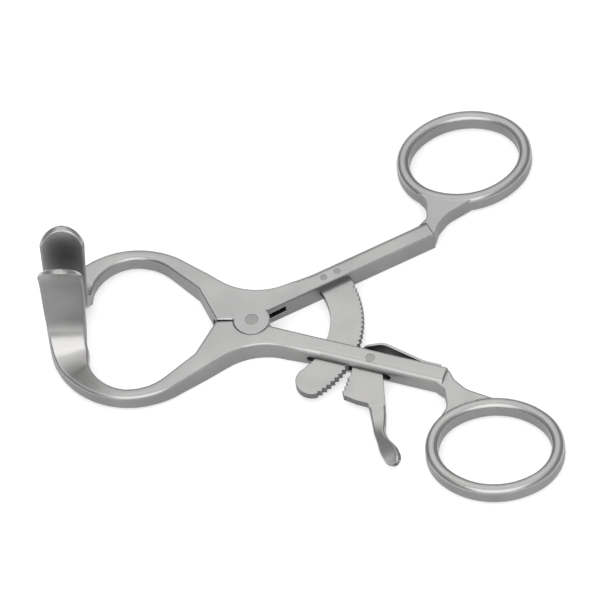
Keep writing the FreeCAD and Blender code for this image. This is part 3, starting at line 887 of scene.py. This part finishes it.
def forged_pawl(tail):
    """Copy of the pawl's mesh whose tail is drawn out anew in one twisting line to its oval thumb tab."""
    bm = copied("pawl")
    pin = node_middle("pawl_pin")
    stations = [
        (tail.cut + 0.2, 0.55, 0.0, 4.1, 1.9, 0.0),
        *TAIL_STATIONS,
        (27.2, 2.3, 0.3, tail.tab_width, 1.7, 44.0),
        (29.6, 3.1, 0.4, tail.tab_width, 1.6, 50.0),
    ]
    rings = []
    for index in range(tail.steps + 1):
        rings.append(tail_ring(pin, *between(stations, (len(stations) - 1) * index / tail.steps)))
    down, shift, rise, width, thickness, twist = stations[-1]
    for index in range(1, tail.end_steps + 1):
        turn = math.radians(TAB_TURN * index / tail.end_steps)
        far = math.sin(turn) * tail.tab_width / 2 * TAB_RUN
        shape = (width * math.cos(turn), thickness * (1 - TAB_THIN * math.sin(turn) ** 4), twist)
        rings.append(tail_ring(pin, down + far, shift + TAB_DRIFT * far, rise, *shape))
    return regrown("pawl forging", bm, pin + Vector((0, -tail.cut * MM, 0)), (0, -1, 0), rings)


class GAG_OT_ratchet(bpy.types.Operator):
    """The toothed sector's plate finish, and the pawl with its twisting tail"""

    bl_idname = "gag.ratchet"
    bl_label = "Finish ratchet"

    def execute(self, context):
        finish = context.scene.gag_plate
        # The plates' wall grey paints shade on the cut edges of the sector and the pawl
        steel = satin_steel("plate steel", finish, finish.shaded_wall_level)
        assign("ratchet_sector", steel)
        mesh = forged_pawl(context.scene.gag_tail)
        piece = mesh_piece("pawl_forging", mesh, "release", steel)
        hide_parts("pawl")
        return {"FINISHED"}


class GAG_OT_spring(bpy.types.Operator):
    """Finish of the leaf spring"""

    bl_idname = "gag.spring"
    bl_label = "Finish spring"

    def execute(self, context):
        finish = context.scene.gag_plate
        # The spring's walls take painted shade, at 0.35 of the plates' grey
        assign("pawl_spring", satin_steel("spring steel", finish, finish.level * 0.35, softened=False))
        return {"FINISHED"}


def pin_head_tree():
    """Geometry tree: a low dome on every point, as wide as the point's radius."""
    group = bpy.data.node_groups.new("Pin heads", "GeometryNodeTree")
    face = group.interface
    face.new_socket("Geometry", in_out="INPUT", socket_type="NodeSocketGeometry")
    face.new_socket("Crown", in_out="INPUT", socket_type="NodeSocketFloat")
    face.new_socket("Segments", in_out="INPUT", socket_type="NodeSocketInt")
    face.new_socket("Material", in_out="INPUT", socket_type="NodeSocketMaterial")
    face.new_socket("Geometry", in_out="OUTPUT", socket_type="NodeSocketGeometry")
    tree = Tree(group)
    start = group.nodes.new("NodeGroupInput")
    given = {socket.name: Socket(tree, socket) for socket in start.outputs if socket.name}
    ball = tree.add(
        "GeometryNodeMeshUVSphere",
        values={"Segments": given["Segments"], "Rings": HEAD_RINGS, "Radius": 1.0},
    )
    place = tree.add("GeometryNodeInputPosition")
    parts = group.nodes.new("ShaderNodeSeparateXYZ")
    group.links.new(place.link, parts.inputs[0])
    x, y, z = (Socket(tree, socket) for socket in parts.outputs)
    # The ball is flattened, and its lower half becomes a flat base a hair under the surface
    height = tree.add("ShaderNodeMath", {"operation": "MAXIMUM"}, {0: z, 1: HEAD_BASE})
    lens = tree.add("ShaderNodeCombineXYZ", values={0: x, 1: y, 2: height})
    dome = tree.add("GeometryNodeSetPosition", values={"Geometry": ball, "Position": lens})
    radius = tree.add("GeometryNodeInputNamedAttribute", {"data_type": "FLOAT"}, {"Name": "radius"})
    size = tree.add("ShaderNodeCombineXYZ", values={0: radius, 1: radius, 2: given["Crown"]})
    points = tree.add(
        "GeometryNodeInstanceOnPoints",
        values={"Points": given["Geometry"], "Instance": dome, "Scale": size},
    )
    real = tree.add("GeometryNodeRealizeInstances", values={"Geometry": points})
    painted = tree.add("GeometryNodeSetMaterial", values={"Geometry": real, "Material": given["Material"]})
    end = group.nodes.new("NodeGroupOutput")
    group.links.new(painted.link, end.inputs[0])
    return group


def evaluated_mesh(name, mesh, group, inputs):
    """Run a geometry tree on a mesh and return the plain mesh that it makes."""
    carrier = bpy.data.objects.new(name, mesh)
    bpy.context.scene.collection.objects.link(carrier)
    modifier = carrier.modifiers.new(name, "NODES")
    modifier.node_group = group
    for item in group.interface.items_tree:
        if item.in_out == "INPUT" and item.name in inputs:
            modifier[item.identifier] = inputs[item.name]
    graph = bpy.context.evaluated_depsgraph_get()
    result = bpy.data.meshes.new_from_object(carrier.evaluated_get(graph))
    carrier.modifiers.remove(modifier)
    bpy.data.objects.remove(carrier)
    return result


class GAG_OT_pin_heads(bpy.types.Operator):
    """Low domed heads on the pivot pin, the pawl's pin and the two rivets of the sector"""

    bl_idname = "gag.pin_heads"
    bl_label = "Pin heads"

    def execute(self, context):
        heads = context.scene.gag_heads
        plate = context.scene.gag_plate
        material = satin_steel("pin steel", plate, heads.level, softened=False, top_level=heads.level)
        group = pin_head_tree()
        pins = {"lower": ("pivot_pin", "pawl_pin"), "upper": ("sector_rivet_front", "sector_rivet_rear")}
        for body, names in pins.items():
            mesh = bpy.data.meshes.new("pin tops")
            tops = []
            for name in names:
                middle = node_middle(name)
                tops.append((middle.x, middle.y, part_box(name)[1].z))
            mesh.from_pydata(tops, [], [])
            radii = mesh.attributes.new("radius", "FLOAT", "POINT")
            for index, name in enumerate(names):
                radii.data[index].value = node_radius(name) * HEAD_SHARE
            given = {"Crown": heads.crown, "Segments": heads.segments, "Material": material}
            result = evaluated_mesh("pin tops", mesh, group, given)
            for face in result.polygons:
                face.use_smooth = True
            mesh_piece(f"{body}_pin_heads", result, body, material)
        for name in (*pins["lower"], *pins["upper"], "spring_screw"):
            assign(name, material)
        return {"FINISHED"}


class GAG_OT_studio(bpy.types.Operator):
    """White floor, soft lamps and the camera"""

    bl_idname = "gag.studio"
    bl_label = "Studio"

    def execute(self, context):
        studio = context.scene.gag_studio
        self.floor(studio)
        self.lamps(context, studio)
        self.camera(context, studio)
        context.scene.view_settings.view_transform = "Standard"
        return {"FINISHED"}

    def floor(self, studio):
        """White floor that keeps a soft shadow; it shows white to the camera and in reflections."""
        material, tree = new_material("studio floor")
        path = tree.add("ShaderNodeLightPath")
        node = path.link.node
        rays = ("Is Camera Ray", "Is Glossy Ray", "Is Transmission Ray")
        camera, glossy, through = (Socket(tree, node.outputs[name]) for name in rays)
        shows = camera + glossy + through
        paper = tree.add("ShaderNodeBsdfDiffuse", values={"Color": grey(studio.floor_grey)})
        strength = shows * studio.floor_glow
        glow = tree.add("ShaderNodeEmission", values={"Color": grey(1.0), "Strength": strength})
        both = tree.add("ShaderNodeAddShader", values={0: paper, 1: glow})
        tree.add("ShaderNodeOutputMaterial", values={"Surface": both})
        level = CAD_BOX[0][2]
        side = studio.floor
        mesh = bpy.data.meshes.new("floor")
        corners = [(-side, -side, level), (side, -side, level), (side, side, level), (-side, side, level)]
        mesh.from_pydata(corners, [], [(0, 1, 2, 3)])
        mesh.materials.append(material)
        floor = bpy.data.objects.new("floor", mesh)
        bpy.context.scene.collection.objects.link(floor)

    def lamps(self, context, studio):
        """A plain surround, and square lamps over the camera, overhead and beyond the object."""
        world = bpy.data.worlds.new("surround")
        world.use_nodes = True
        tree = Tree(world.node_tree)
        sky = tree.add("ShaderNodeBackground", values={"Color": grey(1.0), "Strength": studio.world})
        tree.add("ShaderNodeOutputWorld", values={"Surface": sky})
        context.scene.world = world
        for name, place, size, power in LAMPS:
            light = bpy.data.lights.new(name, "AREA")
            light.shape = "SQUARE"
            light.size = size
            light.energy = getattr(studio, power)
            lamp = bpy.data.objects.new(name, light)
            lamp.location = place
            lamp.rotation_euler = (-Vector(place)).to_track_quat("-Z", "Y").to_euler()
            context.scene.collection.objects.link(lamp)

    def camera(self, context, studio):
        """Camera at the photograph's angle; the pivot lies left of and below the middle of the picture."""
        turn = Matrix.Rotation(-studio.turn, 3, "Z")
        right = turn @ Vector((1, 0, 0))
        up = turn @ Vector((0, math.sin(studio.elevation), math.cos(studio.elevation)))
        ahead = turn @ Vector((0, math.cos(studio.elevation), -math.sin(studio.elevation)))
        cosine, sine = math.cos(studio.roll), math.sin(studio.roll)
        across = cosine * right + sine * up
        upright = -sine * right + cosine * up
        target = joint_place("arm_hinge") + studio.shift_across * across + studio.shift_up * upright
        data = bpy.data.cameras.new("camera")
        data.sensor_width = SENSOR
        data.lens = studio.lens
        data.clip_end = CAMERA_END
        camera = bpy.data.objects.new("camera", data)
        turned = Matrix((across, upright, -ahead)).transposed().to_4x4()
        camera.matrix_world = Matrix.Translation(target - studio.distance * ahead) @ turned
        context.scene.collection.objects.link(camera)
        context.scene.camera = camera


class GAG_PT_panel(bpy.types.Panel):
    """Lists the finishes and their sizes"""

    bl_idname = "GAG_PT_panel"
    bl_label = "Mouth Gag"
    bl_space_type = "VIEW_3D"
    bl_region_type = "UI"
    bl_category = "Mouth Gag"

    def draw(self, context):
        scene = context.scene
        for operator, settings in STEPS:
            box = self.layout.box()
            box.operator(operator.bl_idname)
            for setting in settings:
                group = getattr(scene, setting)
                for name in group.bl_rna.properties.keys():
                    if name not in ("rna_type", "name"):
                        box.prop(group, name)


GROUPS = {
    "gag_jaw": Jaw,
    "gag_tail": Tail,
    "gag_forged": ForgedFinish,
    "gag_plate": PlateFinish,
    "gag_heads": PinHeads,
    "gag_studio": Studio,
}
STEPS = (
    (GAG_OT_arms, ("gag_forged", "gag_jaw")),
    (GAG_OT_ratchet, ("gag_plate", "gag_tail")),
    (GAG_OT_spring, ()),
    (GAG_OT_pin_heads, ("gag_heads",)),
    (GAG_OT_studio, ("gag_studio",)),
)


def register():
    for name, group in GROUPS.items():
        bpy.utils.register_class(group)
        setattr(bpy.types.Scene, name, bpy.props.PointerProperty(type=group))
    for operator, _ in STEPS:
        bpy.utils.register_class(operator)
    bpy.utils.register_class(GAG_PT_panel)


def unregister():
    bpy.utils.unregister_class(GAG_PT_panel)
    for operator, _ in STEPS:
        bpy.utils.unregister_class(operator)
    for name, group in GROUPS.items():
        delattr(bpy.types.Scene, name)
        bpy.utils.unregister_class(group)


def main():
    register()
    bpy.ops.gag.arms()
    bpy.ops.gag.ratchet()
    bpy.ops.gag.spring()
    bpy.ops.gag.pin_heads()
    bpy.ops.gag.studio()


if __name__ == "__main__":
    main()
